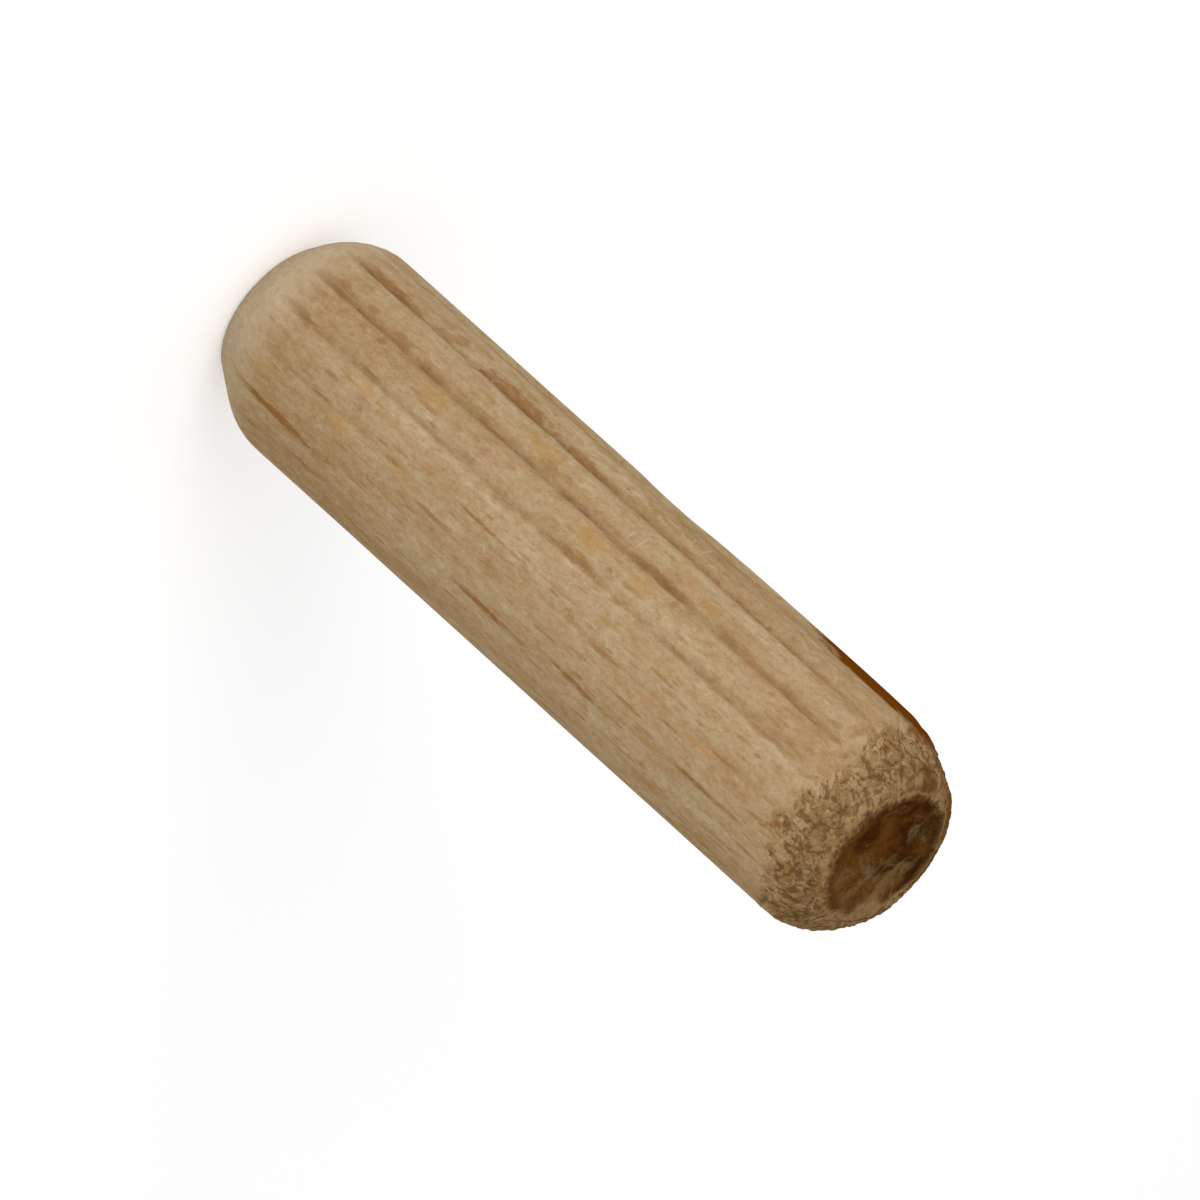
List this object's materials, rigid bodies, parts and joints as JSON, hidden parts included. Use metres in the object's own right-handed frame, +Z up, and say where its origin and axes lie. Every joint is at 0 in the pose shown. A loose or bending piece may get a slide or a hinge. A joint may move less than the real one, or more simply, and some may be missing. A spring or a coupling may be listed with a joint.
{
  "type": "wooden dowel pin",
  "caption": "Straight fluted beech dowel pin with chamfered ends, pressed and glued into drilled holes to align and join two boards.",
  "frame": {"origin": "middle of the flat end that the pin stands on", "axes": "+Z up along the pin, towards its other flat end; the flutes are deepest on the -X side"},
  "size_m": [0.008, 0.008, 0.03],
  "materials": {
    "beech": "raw, unfinished, with torn grain on the chamfers and darkened end grain"
  },
  "bodies": {
    "root": {"dowel_pin": "beech"}
  },
  "joints": []
}
